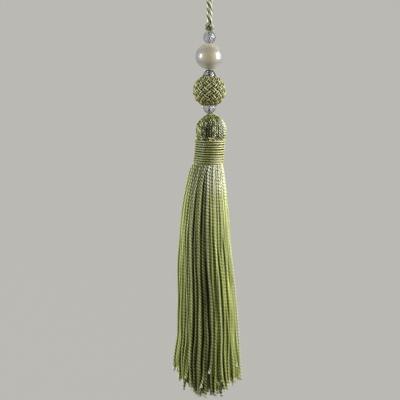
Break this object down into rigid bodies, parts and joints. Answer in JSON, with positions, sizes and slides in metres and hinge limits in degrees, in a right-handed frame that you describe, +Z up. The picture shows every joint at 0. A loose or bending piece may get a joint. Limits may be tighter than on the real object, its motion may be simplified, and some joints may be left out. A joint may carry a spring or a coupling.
{
  "type": "beaded tassel",
  "caption": "Long rayon tassel with a bound neck, hung by a twisted cord loop through glass beads, a pearl and a woven ball",
  "frame": {"origin": "inside of the crown of the hanging loop, where the tassel hangs from its hook", "axes": "+Z up along the cord, the skirt hangs towards -Z, the front faces -Y, +X to the right"},
  "size_m": [0.039, 0.034, 0.2639],
  "materials": {
    "cord": "pale green twisted rayon cord",
    "cut_glass": "clear faceted glass",
    "pearl": "creamy pearl lacquer",
    "woven_thread": "olive gold thread, woven over and under",
    "binding_thread": "olive green twisted thread, wound",
    "rayon_strands": "lustrous green two-ply rayon"
  },
  "bodies": {
    "root": {"hanging_cord": "cord", "knot": "cord", "stringing_cord": "cord", "crystal_top": "cut_glass", "pearl": "pearl", "crystal_middle": "cut_glass", "woven_ball": "woven_thread", "crystal_bottom": "cut_glass", "binding": "binding_thread", "tassel": "rayon_strands"}
  },
  "joints": []
}
